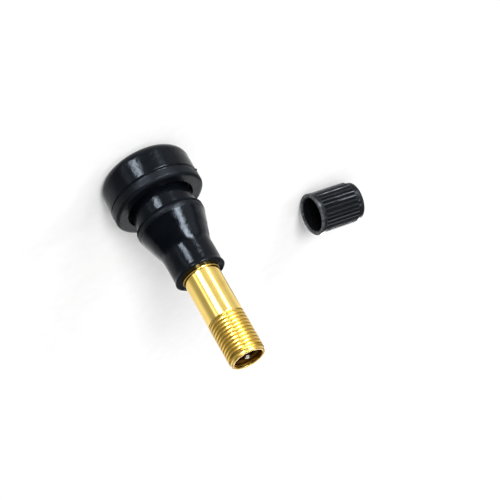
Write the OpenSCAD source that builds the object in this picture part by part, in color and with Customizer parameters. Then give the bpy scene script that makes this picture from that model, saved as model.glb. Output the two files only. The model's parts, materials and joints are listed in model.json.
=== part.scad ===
// Snap-in tyre valve, standing on its rubber base with the stem upright.
// The origin is on the stem's axis, at the bottom of the base. Millimetres.

/* [Overall] */
// Height of the valve, from the bottom of its base to its tip
valve_h = 47.3; // [46:0.1:58]

/* [Rubber base] */
// Diameter of the base
base_d = 19.4; // [18:0.1:22]
// Height of the base, from its bottom to its sealing face
base_h = 9; // [7.5:0.1:12]
// Rounding of the bottom edge
base_edge_r = 2.4; // [1:0.1:3]
// Rounding of the sealing face's outer edge
face_edge_r = 0.7; // [0.4:0.1:1.4]
// Drop of the mould's parting line below the sealing face
parting_drop = 2.25; // [1.8:0.05:3.5]
// Height of the flash along the parting line
flash_h = 0.2; // [0.1:0.05:0.4]
// Width of the flash along the parting line
flash_w = 0.4; // [0.2:0.05:0.6]
// Diameter of the hollow under the base
dish_d = 9; // [7:0.1:11]
// Depth of the hollow under the base
dish_depth = 2; // [1:0.1:2.6]
// Diameter of the air passage through base and stem
air_hole_d = 3.2; // [2:0.1:3.4]

/* [Rubber neck, bell and sleeve] */
// Diameter of the neck at the sealing face
neck_d = 12.8; // [11.6:0.1:14]
// Radial flare of the neck towards the bell
neck_flare = 0.3; // [0:0.05:0.6]
// Length of the neck, from the sealing face to the bell's lip
neck_h = 4.1; // [4.1:0.1:6]
// Width of the relief groove round the foot of the neck
relief_w = 0.8; // [0.4:0.05:1.2]
// Depth of the relief groove
relief_depth = 1.5; // [0.7:0.1:2.5]
// Overhang of the bell's lip beyond the neck
lip_w = 0.7; // [0.5:0.05:1]
// Rounding of the lip's edge
lip_edge_r = 0.35; // [0.1:0.05:0.35]
// Length of the bell's taper
bell_h = 7.6; // [6:0.1:10]
// Rounding where the bell runs into the sleeve
bell_foot_r = 6; // [2:0.5:10]
// Length of the sleeve above the bell
sleeve_h = 6.3; // [4:0.1:9]
// Thickness of the sleeve's wall
sleeve_wall = 1.4; // [1:0.05:1.7]
// Height of the bead that ends the sleeve
bead_proud = 0.15; // [0.05:0.05:0.4]
// Length of the bead
bead_h = 1; // [0.8:0.1:2]
// Rounding of the bead's edge
bead_edge_r = 0.3; // [0.2:0.05:0.7]

/* [Brass stem] */
// Diameter of the stem and of its cap thread
stem_d = 7.7; // [7.4:0.1:8.6]
// Length of the cap thread
thread_len = 9.3; // [7:0.1:11]
// Width of the run-out groove that ends the thread
runout_w = 0.5; // [0.3:0.05:0.9]
// Depth of the run-out groove
runout_depth = 0.3; // [0.1:0.05:0.45]
// Chamfer on the tip
tip_chamfer = 0.3; // [0.1:0.05:0.45]
// Overhang of the foot flange that the rubber holds
foot_proud = 1.35; // [0.8:0.05:2]
// Thickness of the foot flange
foot_t = 1.3; // [0.8:0.1:2]
// Thickness of the rubber under the foot flange
foot_cover = 1.2; // [0.6:0.1:2]
// Number of grip rings inside the rubber
grip_count = 3; // [1:1:4]
// Height of a grip ring
grip_proud = 0.4; // [0.2:0.05:0.7]
// Length of a grip ring
grip_len = 0.9; // [0.5:0.05:1.2]
// Pitch of the grip rings
grip_pitch = 2.4; // [1.6:0.1:3]
// Height of the shut-off collar at the rubber's end
collar_proud = 0.15; // [0.05:0.05:0.3]
// Length of the shut-off collar
collar_len = 0.35; // [0.2:0.05:0.6]

/* [Valve core] */
// Diameter of the pin
pin_d = 1.1; // [0.9:0.05:1.3]
// Drop of the pin's end below the tip
pin_drop = 0.3; // [0:0.05:0.8]
// Travel of the pin
pin_travel = 1.4; // [0.8:0.1:1.8]
// Diameter of the spring's wire
wire_d = 0.24; // [0.18:0.01:0.3]
// Number of turns of the spring
spring_turns = 8; // [5:1:10]
// Thickness of the retaining collar on the pin
pin_collar_t = 0.5; // [0.3:0.05:0.8]
// Drop of the plug's bridge below the tip
plug_drop = 1.5; // [1:0.1:2.2]
// Height of the bridge
bridge_h = 1.6; // [1.2:0.1:2.2]
// Width of the bridge
bridge_w = 2; // [1.6:0.1:2.6]
// Thickness of the bridge's crossbar
crossbar_t = 0.6; // [0.4:0.05:0.9]
// Inset of the bridge from the plug's thread
bridge_inset = 0.2; // [0.1:0.05:0.35]
// Length of the plug's thread
plug_h = 2.6; // [2:0.1:3.4]
// Chamfer at the ends of the plug's thread
plug_chamfer = 0.25; // [0.1:0.05:0.3]
// Thickness of the lip that holds the barrel's head
plug_lip_t = 0.5; // [0.35:0.05:0.8]
// Thickness of the barrel's head
head_t = 0.6; // [0.4:0.05:0.8]
// Overhang of the barrel's head
head_step = 0.35; // [0.2:0.05:0.4]
// Wall of the barrel's swivel neck
swivel_wall = 0.4; // [0.3:0.05:0.5]
// Length of the barrel's collar above the gasket
barrel_collar_h = 1.8; // [1.2:0.1:2.6]
// Length of the gasket above the seat cone
gasket_rim_h = 0.5; // [0.3:0.05:0.9]
// Length of the seat cone
seat_h = 1.3; // [0.8:0.1:2]
// Step of the seat cone, across its radius
seat_step = 0.35; // [0.25:0.05:0.5]
// Step from the chamber to the core thread's bore
chamber_step = 0.25; // [0.15:0.05:0.4]
// Spare bore below the plug's thread
bore_spare = 0.6; // [0.3:0.1:1]
// Length of the barrel below the gasket
barrel_tail_h = 4.6; // [4:0.1:6]
// Wall of the barrel round the spring
barrel_wall = 0.65; // [0.5:0.05:0.8]
// Depth of the gasket's groove in the barrel
groove_depth = 0.35; // [0.2:0.05:0.4]
// Thickness of the barrel over and under the spring
barrel_end_t = 0.8; // [0.6:0.05:1.2]
// Width of the barrel's sealing rim
nose_w = 0.4; // [0.3:0.05:0.45]
// Height of the barrel's sealing rim
nose_h = 0.4; // [0.2:0.05:0.6]
// Thickness of the cup's washer
seal_t = 0.9; // [0.6:0.05:1.2]
// Thickness of the cup's wall
cup_wall = 0.2; // [0.15:0.01:0.25]
// Thickness of the cup's floor
cup_floor = 0.3; // [0.2:0.05:0.5]
// Height that the washer stands proud of the cup
seal_proud = 0.15; // [0.05:0.05:0.3]
// Overhang of the pin's riveted foot
rivet_step = 0.3; // [0.2:0.05:0.5]
// Thickness of the pin's riveted foot
rivet_t = 0.4; // [0.25:0.05:0.6]
// Flare of the stem's mouth
mouth_flare = 0.5; // [0.3:0.05:0.55]
// Depth of the stem's flared mouth
mouth_depth = 1.4; // [0.8:0.1:1.8]

/* [Dust cap] */
// Length of the cap
cap_len = 12; // [11:0.1:15]
// Thickness of the cap's closed end
cap_end_t = 2.4; // [2:0.1:3.2]
// Thickness of the cap's wall between the ribs
cap_wall = 0.6; // [0.5:0.05:1]
// Number of grip ribs
rib_count = 28; // [16:2:32]
// Height of a grip rib
rib_h = 0.3; // [0.2:0.05:0.6]
// Width of a grip rib
rib_w = 0.55; // [0.35:0.05:0.65]
// Length of the flange at the mouth
flange_h = 1.3; // [0.8:0.1:2]
// Overhang of the flange beyond the ribs
flange_step = 0.1; // [0.05:0.05:0.6]
// Flare of the cap's mouth
cap_flare = 0.35; // [0.1:0.05:0.5]
// Length of the plain collar at the closed end
cap_collar_h = 1.5; // [1:0.1:1.9]
// Inset of the plain collar from the ribs
cap_collar_step = 0.4; // [0.3:0.05:0.6]
// Rounding of the closed end's edge
cap_edge_r = 0.5; // [0.2:0.05:0.8]
// Rounding of the flange's edge at the mouth
flange_edge_r = 0.2; // [0.05:0.05:0.3]
// Place of the cap's mouth to the left of the stem's axis
cap_x = 29; // [24:1:60]
// Place of the cap's mouth behind the stem's axis
cap_y = 50; // [28:1:80]
// Heading of the cap, from its mouth to its closed end, turned backwards from the left
cap_turn = 26; // [0:1:40]

/* [Fits] */
// Radial clearance of the plug in the stem's bore
thread_clear = 0.05; // [0.02:0.01:0.1]
// Clearance of the barrel's swivel in the plug
swivel_clear = 0.05; // [0.02:0.01:0.08]
// Clearance of the barrel's head in the plug's bore
head_clear = 0.15; // [0.1:0.01:0.25]
// Gap between the gasket and the stem's seat
seat_clear = 0.04; // [0.02:0.01:0.08]
// Radial gap for air round the pin
guide_clear = 0.2; // [0.12:0.01:0.25]
// Radial clearance inside and outside the spring
spring_clear = 0.15; // [0.1:0.01:0.2]
// Gap between the spring's ends and their seats
spring_gap = 0.03; // [0.01:0.01:0.06]
// Gap between the pin's collar and the barrel's roof
collar_gap = 0.25; // [0.1:0.05:0.4]
// Gap between the washer and the barrel's rim
seal_gap = 0.03; // [0.01:0.01:0.06]
// Radial gap for air round the barrel
air_gap = 0.2; // [0.15:0.01:0.3]
// Radial gap for air round the cup
cup_gap = 0.28; // [0.2:0.01:0.3]
// Room below the pin at the end of its travel
foot_room = 1; // [0.5:0.1:2]
// Radial clearance of the cap on the stem
cap_clear = 0.1; // [0.05:0.01:0.2]

/* [Hidden] */
$fn = 96;
// Overshoot of a cutting solid
cut = 0.5;
// Steps of a rounded edge, of one spring turn and round its wire
edge_steps = 10;
turn_steps = 16;
wire_sides = 8;

// Radii of the rubber, from the stem outwards
stem_r = stem_d / 2;
base_r = base_d / 2;
neck_r = neck_d / 2;
neck_top_r = neck_r + neck_flare;
relief_r = neck_r + relief_w;
bell_r = neck_top_r + lip_w;
sleeve_r = stem_r + sleeve_wall;
bead_r = sleeve_r + bead_proud;
dish_r = dish_d / 2;
dish_sphere_r = (dish_r * dish_r + dish_depth * dish_depth) / (2 * dish_depth);
dish_angle = asin(dish_r / dish_sphere_r);

// Slope of the bell from the stem's axis, and how far the arcs at its two ends reach along it
bell_slope = atan((bell_r - sleeve_r) / bell_h);
lip_reach = lip_edge_r * tan((90 + bell_slope) / 2);
bell_foot_reach = bell_foot_r * tan(bell_slope / 2);

// Heights of the rubber and the stem, from the bottom up
z_face = base_h;
z_parting = z_face - parting_drop;
z_foot = dish_depth + foot_cover;
z_lip = z_face + neck_h;
z_sleeve = z_lip + bell_h;
z_rubber = z_sleeve + sleeve_h;
z_tip = valve_h;
z_thread = z_tip - thread_len;

// Radii of the core and of the bore round it, from the pin outwards
pin_r = pin_d / 2;
guide_r = pin_r + guide_clear;
spring_r = pin_r + spring_clear + wire_d / 2;
spring_room_r = spring_r + wire_d / 2 + spring_clear;
pin_collar_r = spring_r + wire_d / 2;
barrel_r = spring_room_r + barrel_wall;
groove_r = barrel_r - groove_depth;
lower_bore_r = barrel_r + air_gap;
chamber_r = lower_bore_r + seat_step;
core_bore_r = chamber_r + chamber_step;
mouth_r = core_bore_r + mouth_flare;
plug_r = core_bore_r - thread_clear;
bridge_r = plug_r - bridge_inset;
swivel_r = guide_r + swivel_wall;
head_r = swivel_r + head_step;
plug_bore_r = head_r + head_clear;
nose_r = guide_r + nose_w;
cup_r = lower_bore_r - cup_gap;
seal_r = cup_r - cup_wall;
rivet_r = pin_r + rivet_step;
air_r = air_hole_d / 2;

// Heights of the core, from the tip down
z_pin = z_tip - pin_drop;
z_bridge = z_tip - plug_drop;
z_plug = z_bridge - bridge_h;
z_plug_end = z_plug - plug_h;
z_head = z_plug_end + plug_lip_t + swivel_clear;
z_barrel = z_plug_end - swivel_clear;
z_gasket = z_barrel - barrel_collar_h;
z_seat = z_gasket - gasket_rim_h;
z_seat_end = z_seat - seat_h;
z_barrel_end = z_seat_end - barrel_tail_h;
z_room_top = z_barrel - barrel_end_t;
z_room_end = z_barrel_end + barrel_end_t;
z_pin_collar = z_room_top - collar_gap - pin_collar_t;
z_seal = z_barrel_end - seal_gap;
z_cup_floor = z_seal - seal_t;
z_cup = z_cup_floor - cup_floor;
z_rivet = z_cup - rivet_t;
z_bore_end = z_plug_end - bore_spare;
z_lower_end = z_rivet - pin_travel - foot_room;

// Sizes of the cap, from its bore outwards, and its lie on the floor
cap_bore_r = stem_r + cap_clear;
cap_mouth_r = cap_bore_r + cap_flare;
cap_root_r = cap_bore_r + cap_wall;
rib_r = cap_root_r + rib_h;
flange_r = rib_r + flange_step;
cap_collar_r = rib_r - cap_collar_step;
rib_end = cap_len - cap_collar_h;
cap_tilt = atan(flange_step / (rib_end - flange_h));
cap_rest_h = flange_h * sin(cap_tilt) + flange_r * cos(cap_tilt);

// Points of an arc round [x, z], from one angle to another
function arc(x, z, r, from, to) = [
    for (i = [0:edge_steps])
        let (a = from + (to - from) * i / edge_steps)
        [x + r * cos(a), z + r * sin(a)]
];

// Outline of one grip ring, a barb that tapers towards the foot
function grip_ring(z) = [
    [stem_r, z],
    [stem_r + grip_proud, z + grip_len],
    [stem_r, z + grip_len]
];

// Outline of the rubber, from the axis out along the underside and up to the sleeve's end
rubber_outline = concat(
    arc(0, dish_depth - dish_sphere_r, dish_sphere_r, 90, 90 - dish_angle),
    arc(base_r - base_edge_r, base_edge_r, base_edge_r, -90, 0),
    [
        [base_r, z_parting - flash_w / 2],
        [base_r + flash_h, z_parting],
        [base_r, z_parting + flash_w / 2]
    ],
    arc(base_r - face_edge_r, z_face - face_edge_r, face_edge_r, 0, 90),
    [[relief_r, z_face]],
    arc(neck_r + relief_w / 2, z_face - relief_depth + relief_w / 2, relief_w / 2, 0, -180),
    [[neck_r, z_face], [neck_top_r, z_lip]],
    arc(bell_r - lip_reach, z_lip + lip_edge_r, lip_edge_r, -90, bell_slope),
    arc(sleeve_r + bell_foot_r, z_sleeve + bell_foot_reach, bell_foot_r, 180 + bell_slope, 180),
    [[sleeve_r, z_rubber - bead_h]],
    arc(bead_r - bead_edge_r, z_rubber - bead_edge_r, bead_edge_r, 0, 90),
    [[0, z_rubber]]
);

// Outline of the stem's outside, from the foot flange up to the tip
stem_outline = concat(
    [
        [0, z_foot],
        [stem_r + foot_proud, z_foot],
        [stem_r + foot_proud, z_foot + foot_t],
        [stem_r, z_foot + foot_t]
    ],
    [for (i = [0:grip_count - 1], p = grip_ring(z_face + i * grip_pitch)) p],
    [
        [stem_r, z_rubber],
        [stem_r + collar_proud, z_rubber],
        [stem_r + collar_proud, z_rubber + collar_len],
        [stem_r, z_rubber + collar_len],
        [stem_r, z_thread - runout_w],
        [stem_r - runout_depth, z_thread - runout_w + runout_depth],
        [stem_r - runout_depth, z_thread],
        [stem_r, z_thread + runout_depth],
        [stem_r, z_tip - tip_chamfer],
        [stem_r - tip_chamfer, z_tip],
        [0, z_tip]
    ]
);

// Outline of the stem's bore, from the flared mouth down to the air passage
bore_outline = [
    [0, z_tip + cut],
    [mouth_r, z_tip + cut],
    [mouth_r, z_tip],
    [core_bore_r, z_tip - mouth_depth],
    [core_bore_r, z_bore_end],
    [chamber_r, z_bore_end - chamber_step],
    [chamber_r, z_seat],
    [lower_bore_r, z_seat_end],
    [lower_bore_r, z_lower_end],
    [air_r, z_lower_end - lower_bore_r + air_r],
    [air_r, z_foot - cut],
    [0, z_foot - cut]
];

// Outline of the barrel's outside, from its head down to its sealing rim
barrel_outline = [
    [0, z_head + head_t],
    [head_r, z_head + head_t],
    [head_r, z_head],
    [swivel_r, z_head],
    [swivel_r, z_barrel],
    [barrel_r, z_barrel],
    [barrel_r, z_gasket],
    [groove_r, z_gasket],
    [groove_r, z_seat_end],
    [barrel_r, z_seat_end],
    [barrel_r, z_barrel_end + nose_h],
    [nose_r, z_barrel_end],
    [0, z_barrel_end]
];

// Outline of the gasket, a ring with the seat's cone on its outside
gasket_outline = [
    [groove_r, z_gasket],
    [chamber_r - seat_clear, z_gasket],
    [chamber_r - seat_clear, z_seat],
    [lower_bore_r - seat_clear, z_seat_end],
    [groove_r, z_seat_end]
];

// Outline of the pin, from its rounded end down to its riveted foot
pin_outline = concat(
    [[0, z_rivet], [rivet_r, z_rivet], [rivet_r, z_cup], [pin_r, z_cup]],
    [
        [pin_r, z_pin_collar],
        [pin_collar_r, z_pin_collar],
        [pin_collar_r, z_pin_collar + pin_collar_t],
        [pin_r, z_pin_collar + pin_collar_t]
    ],
    arc(pin_r / 2, z_pin - pin_r / 2, pin_r / 2, 0, 90),
    [[0, z_pin]]
);

// Outline of the cap, from its mouth up to its closed end
cap_outline = concat(
    [[0, 0]],
    arc(flange_r - flange_edge_r, flange_edge_r, flange_edge_r, -90, 0),
    [
        [flange_r, flange_h],
        [cap_root_r, flange_h],
        [cap_root_r, rib_end],
        [cap_collar_r, rib_end]
    ],
    arc(cap_collar_r - cap_edge_r, cap_len - cap_edge_r, cap_edge_r, 0, 90),
    [[0, cap_len]]
);

// Height of the wire's centre at a share u of the spring
spring_low = z_room_end + spring_gap + wire_d / 2;
spring_high = z_pin_collar - spring_gap - wire_d / 2;
function spring_height(u) = spring_low + (spring_high - spring_low) * u;

// Solid turned from an outline round the stem's axis
module turned(outline) {
    rotate_extrude()
        polygon(outline);
}

// Tube swept along the spring's helix, closed by a fan at each end
module spring_coil() {
    rings = spring_turns * turn_steps;
    centres = [
        for (i = [0:rings])
            let (a = 360 * i / turn_steps)
            [spring_r * cos(a), spring_r * sin(a), spring_height(i / rings)]
    ];
    points = [
        for (i = [0:rings], j = [0:wire_sides - 1])
            let (
                a = 360 * i / turn_steps,
                b = 360 * j / wire_sides,
                out = wire_d / 2 * cos(b)
            )
            centres[i] + [out * cos(a), out * sin(a), wire_d / 2 * sin(b)]
    ];
    sides = [
        for (i = [0:rings - 1], j = [0:wire_sides - 1])
            let (
                k = (j + 1) % wire_sides,
                low = i * wire_sides,
                high = low + wire_sides
            )
            each [[low + j, low + k, high + k], [low + j, high + k, high + j]]
    ];
    last = rings * wire_sides;
    ends = [
        [for (j = [0:wire_sides - 1]) wire_sides - 1 - j],
        [for (j = [0:wire_sides - 1]) last + j]
    ];
    polyhedron(points, concat(sides, ends));
}

// Grip ribs round the cap, from the flange to the plain collar
module grip_ribs() {
    translate([0, 0, flange_h])
        linear_extrude(rib_end - flange_h)
            intersection() {
                circle(r = rib_r);
                for (i = [0:rib_count - 1])
                    rotate(360 * i / rib_count)
                        translate([cap_bore_r + cap_wall / 2, -rib_w / 2])
                            square([rib_r, rib_w]);
            }
}

module rubber_body() {
    color([0.05, 0.055, 0.06])
        difference() {
            turned(rubber_outline);
            turned(stem_outline);
            cylinder(h = z_foot + cut, r = air_r);
        }
}

module brass_stem() {
    color([0.85, 0.66, 0.25])
        difference() {
            turned(stem_outline);
            turned(bore_outline);
        }
}

// Threaded plug: a tube with a chamfered thread, bridged by a crossbar that the pin passes through
module core_plug() {
    color([0.78, 0.6, 0.26])
        difference() {
            union() {
                turned([
                    [0, z_plug_end],
                    [plug_r - plug_chamfer, z_plug_end],
                    [plug_r, z_plug_end + plug_chamfer],
                    [plug_r, z_plug - plug_chamfer],
                    [plug_r - plug_chamfer, z_plug],
                    [0, z_plug]
                ]);
                intersection() {
                    translate([0, 0, z_plug - plug_chamfer])
                        cylinder(h = bridge_h + plug_chamfer, r = bridge_r);
                    translate([-plug_r, -bridge_w / 2, z_plug_end])
                        cube([2 * plug_r, bridge_w, plug_h + bridge_h]);
                }
            }
            translate([0, 0, z_plug_end + plug_lip_t])
                cylinder(h = plug_h + bridge_h - plug_lip_t - crossbar_t, r = plug_bore_r);
            translate([0, 0, z_plug_end - cut])
                cylinder(h = plug_lip_t + 2 * cut, r = swivel_r + swivel_clear);
            translate([0, 0, z_bridge - crossbar_t - cut])
                cylinder(h = crossbar_t + 2 * cut, r = guide_r);
        }
}

// Barrel: bored for the pin at both ends, with a room for the spring between
module core_barrel() {
    color([0.8, 0.63, 0.3])
        difference() {
            turned(barrel_outline);
            translate([0, 0, z_barrel_end - cut])
                cylinder(h = z_head + head_t - z_barrel_end + 2 * cut, r = guide_r);
            translate([0, 0, z_room_end])
                cylinder(h = z_room_top - z_room_end, r = spring_room_r);
        }
}

module barrel_gasket() {
    color([0.75, 0.2, 0.15])
        turned(gasket_outline);
}

module core_pin() {
    color([0.75, 0.75, 0.76])
        turned(pin_outline);
}

module pin_spring() {
    color([0.7, 0.7, 0.72])
        spring_coil();
}

// Cup: a shallow dish on the pin, with its rim below the washer's face
module seal_cup() {
    color([0.8, 0.63, 0.3])
        turned([
            [pin_r, z_cup],
            [cup_r, z_cup],
            [cup_r, z_seal - seal_proud],
            [seal_r, z_seal - seal_proud],
            [seal_r, z_cup_floor],
            [pin_r, z_cup_floor]
        ]);
}

module cup_seal() {
    color([0.1, 0.1, 0.1])
        turned([
            [pin_r, z_cup_floor],
            [seal_r, z_cup_floor],
            [seal_r, z_seal],
            [pin_r, z_seal]
        ]);
}

// Cap: lies on its flange and on the far end of its lowest rib, with its mouth towards the front
module dust_cap() {
    color([0.07, 0.075, 0.08])
        translate([-cap_x, cap_y, cap_rest_h])
            rotate([0, 90 + cap_tilt, 180 - cap_turn])
                difference() {
                    union() {
                        turned(cap_outline);
                        grip_ribs();
                    }
                    turned([
                        [0, -cut],
                        [cap_mouth_r + cut, -cut],
                        [cap_bore_r, cap_flare],
                        [cap_bore_r, cap_len - cap_end_t],
                        [0, cap_len - cap_end_t]
                    ]);
                }
}

rubber_body();
brass_stem();
core_plug();
core_barrel();
barrel_gasket();
core_pin();
pin_spring();
seal_cup();
cup_seal();
dust_cap();
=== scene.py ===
"""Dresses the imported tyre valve: rubber, brass, core and dust cap, on a pale floor."""
import json
import logging
import math
from dataclasses import dataclass, field
from enum import Enum

import bpy
import numpy as np
from mathutils import Matrix, Vector


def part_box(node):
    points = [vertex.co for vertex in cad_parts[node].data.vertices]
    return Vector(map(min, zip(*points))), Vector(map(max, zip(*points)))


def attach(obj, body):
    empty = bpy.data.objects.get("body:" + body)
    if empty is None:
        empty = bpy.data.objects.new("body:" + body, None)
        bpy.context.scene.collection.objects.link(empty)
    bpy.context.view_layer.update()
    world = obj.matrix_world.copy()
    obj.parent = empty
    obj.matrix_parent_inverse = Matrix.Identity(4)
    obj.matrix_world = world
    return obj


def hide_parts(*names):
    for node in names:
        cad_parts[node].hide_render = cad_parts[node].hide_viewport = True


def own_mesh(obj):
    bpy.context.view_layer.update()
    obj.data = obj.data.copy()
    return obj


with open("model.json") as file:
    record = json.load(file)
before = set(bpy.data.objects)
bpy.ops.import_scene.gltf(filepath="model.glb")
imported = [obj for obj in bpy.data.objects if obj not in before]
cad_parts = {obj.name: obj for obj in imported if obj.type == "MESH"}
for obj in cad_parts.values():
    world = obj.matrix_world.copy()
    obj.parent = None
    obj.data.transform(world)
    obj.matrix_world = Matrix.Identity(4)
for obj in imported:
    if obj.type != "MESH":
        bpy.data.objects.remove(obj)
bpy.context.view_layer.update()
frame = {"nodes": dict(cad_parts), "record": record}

LOG = logging.getLogger("tyre_valve")

Array = np.ndarray
Colour = tuple[float, float, float]
Triple = tuple[float, float, float]
Socket = bpy.types.NodeSocket
MM = 0.001
TURN = 2 * math.pi
SAME_POINT_MM = 1e-6
SHARP_ANGLE = math.radians(38)
# Numbers of the mix node's sockets for colours.
MIX_SHARE, MIX_FIRST, MIX_LAST, MIX_RESULT = 0, 6, 7, 2
# Values of the marks where the thread's grooves take their full painted shade, and where a
# moulding begins to turn matte.
GROOVE_MARK = 0.5
MATTE_MARK = 0.8


class Ends(Enum):
    """How the first and the last row of a grid surface are closed."""

    LOOP = "joined to each other"
    FANS = "each closed by a fan to its own pole"


class Body(Enum):
    """The moving bodies that new pieces ride on."""

    VALVE = "valve"
    CORE = "core"
    PLUG = "plug"


def node_box(node: str) -> tuple[Array, Array]:
    """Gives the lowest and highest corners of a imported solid, in millimetres."""
    low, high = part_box(node)
    return np.array(low) / MM, np.array(high) / MM


def mount_of(name: str) -> dict:
    """Gives the record's entry for a mount, with its place, axis and sizes."""
    return next(mount for mount in frame["record"]["mounts"] if mount["name"] == name)


def smooth_step(value: Array) -> Array:
    """Eases a value from 0 to 1: three times its square less twice its cube, held at both ends."""
    held = np.clip(value, 0.0, 1.0)
    return held * held * (3.0 - 2.0 * held)


def hump(value: Array, centre: float, width: float) -> Array:
    """Bell curve of height 1: e to the power of minus the squared distance over the squared width."""
    return np.exp(-(((value - centre) / width) ** 2))


@dataclass(frozen=True)
class Thread:
    """A right-handed thread.

    Attributes:
        pitch: Distance between two turns, in millimetres.
        depth: Depth in millimetres.
        crest: Share of the half pitch that is flat on the crest.
        root: Share of the half pitch that is flat in the root.
    """

    pitch: float
    depth: float
    crest: float = 0.0
    root: float = 0.0

    def form(self, height: Array, angle: Array) -> Array:
        """Works out the profile: 1 on the crest, 0 in the root and straight flanks between.

        The turns are height over pitch less angle over a full turn. A triangle wave of them is
        stretched, and its peaks are cut to the flats.

        Args:
            height: Height along the axis, in millimetres.
            angle: Angle round the axis, in radians.

        Returns:
            The height of the profile as a share of the thread's depth.
        """
        turns = height / self.pitch - angle / TURN
        wave = np.abs(2.0 * (turns - np.floor(turns)) - 1.0)
        return np.clip((wave - self.root) / (1.0 - self.root - self.crest), 0.0, 1.0)


@dataclass(frozen=True)
class Ripple:
    """A smooth unevenness of a round surface, mostly between -1 and 1.

    Attributes:
        seed: Seed of the draw.
        waves: Number of waves.
        lobes: Most lobes that a wave may have.
        length: Shortest wave along the axis, in millimetres.
    """

    seed: int
    waves: int
    lobes: int
    length: float

    def at(self, angle: Array, height: Array | float) -> Array:
        """Works out the unevenness.

        It is a sum of sine waves over the root of their number. Each wave has a whole number of
        lobes round the axis, so that it closes, and its own slope along the axis and phase.

        Args:
            angle: Angle round the axis, in radians.
            height: Height along the axis, in millimetres.

        Returns:
            The unevenness, as an array of the same shape.
        """
        rng = np.random.default_rng(self.seed)
        total = np.zeros(np.broadcast(angle, height).shape)
        for _ in range(self.waves):
            lobe = rng.integers(1, self.lobes + 1)
            slope = rng.uniform(-1.0, 1.0) * TURN / self.length
            phase = rng.uniform(0.0, TURN)
            total = total + np.sin(lobe * angle + slope * height + phase)
        return total / math.sqrt(self.waves)


class Outline:
    """A profile in the half plane of radius and height, drawn run by run in millimetres."""

    def __init__(self, radius: float, height: float) -> None:
        """Starts the profile at a point."""
        self._runs: list[Array] = [np.array([[radius, height]])]

    def run(self, *ends: tuple[float, float], step: float) -> "Outline":
        """Draws straight runs, divided into steps of at most a given length.

        Args:
            ends: Radius and height of the end of each run.
            step: Longest step.

        Returns:
            The same profile.
        """
        for end in ends:
            start = self._runs[-1][-1]
            reach = np.array(end) - start
            count = max(1, math.ceil(float(np.linalg.norm(reach)) / step))
            share = np.arange(1, count + 1)[:, None] / count
            self._runs.append(start + share * reach)
        return self

    def arc(
        self, radius: float, height: float, bend: float, first: float, last: float,
        steps: int, lead: float = 0.5,
    ) -> "Outline":
        """Draws a straight run and the arc that follows it, round a centre.

        Args:
            radius: Distance of the arc's centre from the axis.
            height: Height of the arc's centre.
            bend: Radius of the arc.
            first: Angle of its first point, in degrees.
            last: Angle of its last point, in degrees.
            steps: Number of steps.
            lead: Longest step of the run that leads to the arc.

        Returns:
            The same profile.
        """
        turn = np.radians(np.linspace(first, last, steps + 1))
        bent = np.column_stack([radius + bend * np.cos(turn), height + bend * np.sin(turn)])
        return self.run(bent[0], step=lead).follow(bent)

    def follow(self, points: Array) -> "Outline":
        """Adds points that were worked out elsewhere."""
        self._runs.append(points)
        return self

    def points(self) -> Array:
        """Gives the profile as rows of radius and height, without repeated points."""
        joined = np.concatenate(self._runs)
        apart = np.linalg.norm(np.diff(joined, axis=0), axis=1) > SAME_POINT_MM
        return joined[np.concatenate([[True], apart])]


@dataclass
class Surface:
    """A closed mesh made from a grid of points.

    Rows follow the profile and columns go round it, and the last column joins the first.

    Attributes:
        name: Name of the piece.
        grid: Points, as rows by columns by 3, in millimetres.
        ends: How the first and the last row are closed.
        marks: Named numbers for each point that a finish reads.
    """

    name: str
    grid: Array
    ends: Ends
    marks: dict[str, Array] = field(default_factory=dict)

    def _sides(self) -> Array:
        """Gives the four corners of every face between neighbouring rows and columns."""
        rows, columns = self.grid.shape[:2]
        number = np.arange(rows * columns).reshape(rows, columns)
        if self.ends is Ends.LOOP:
            number = np.concatenate([number, number[:1]])
        ahead = np.roll(number, -1, axis=1)
        corners = [number[:-1], ahead[:-1], ahead[1:], number[1:]]
        return np.stack(corners, axis=-1).reshape(-1, 4)

    def _fans(self) -> tuple[Array, Array]:
        """Gives the two poles and the triangles that join them to the end rows."""
        rows, columns = self.grid.shape[:2]
        poles = np.stack([self.grid[0].mean(axis=0), self.grid[-1].mean(axis=0)])
        first = np.arange(columns)
        last = first + (rows - 1) * columns
        low = np.full(columns, rows * columns)
        lower = np.column_stack([low, np.roll(first, -1), first])
        upper = np.column_stack([last, np.roll(last, -1), low + 1])
        return poles, np.concatenate([lower, upper])

    def build(self) -> bpy.types.Object:
        """Makes the mesh and its object at the origin.

        Returns:
            The object, linked to the scene.
        """
        points = self.grid.reshape(-1, 3)
        faces = self._sides().tolist()
        spare = 0
        if self.ends is Ends.FANS:
            poles, fans = self._fans()
            points = np.concatenate([points, poles])
            faces += fans.tolist()
            spare = len(poles)
        mesh = bpy.data.meshes.new(self.name)
        mesh.from_pydata((points * MM).tolist(), [], faces)
        for mark, values in self.marks.items():
            layer = mesh.attributes.new(mark, "FLOAT", "POINT")
            flat = np.concatenate([np.asarray(values, float).ravel(), np.zeros(spare)])
            layer.data.foreach_set("value", flat.astype(np.float32))
        mesh.shade_smooth()
        mesh.set_sharp_from_angle(angle=SHARP_ANGLE)
        mesh.update()
        piece = bpy.data.objects.new(self.name, mesh)
        bpy.context.scene.collection.objects.link(piece)
        LOG.info("%s: %d points, %d faces", self.name, len(points), len(faces))
        return piece


def turned_grid(outline: Array, columns: int) -> tuple[Array, Array, Array]:
    """Spreads a profile round the axis.

    Args:
        outline: Rows of radius and height.
        columns: Number of columns round the axis.

    Returns:
        Radius, height and angle, each as rows by columns.
    """
    angle = np.arange(columns) / columns * TURN
    shape = (len(outline), columns)
    radius = np.broadcast_to(outline[:, :1], shape)
    height = np.broadcast_to(outline[:, 1:], shape)
    return radius, height, np.broadcast_to(angle, shape)


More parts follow.
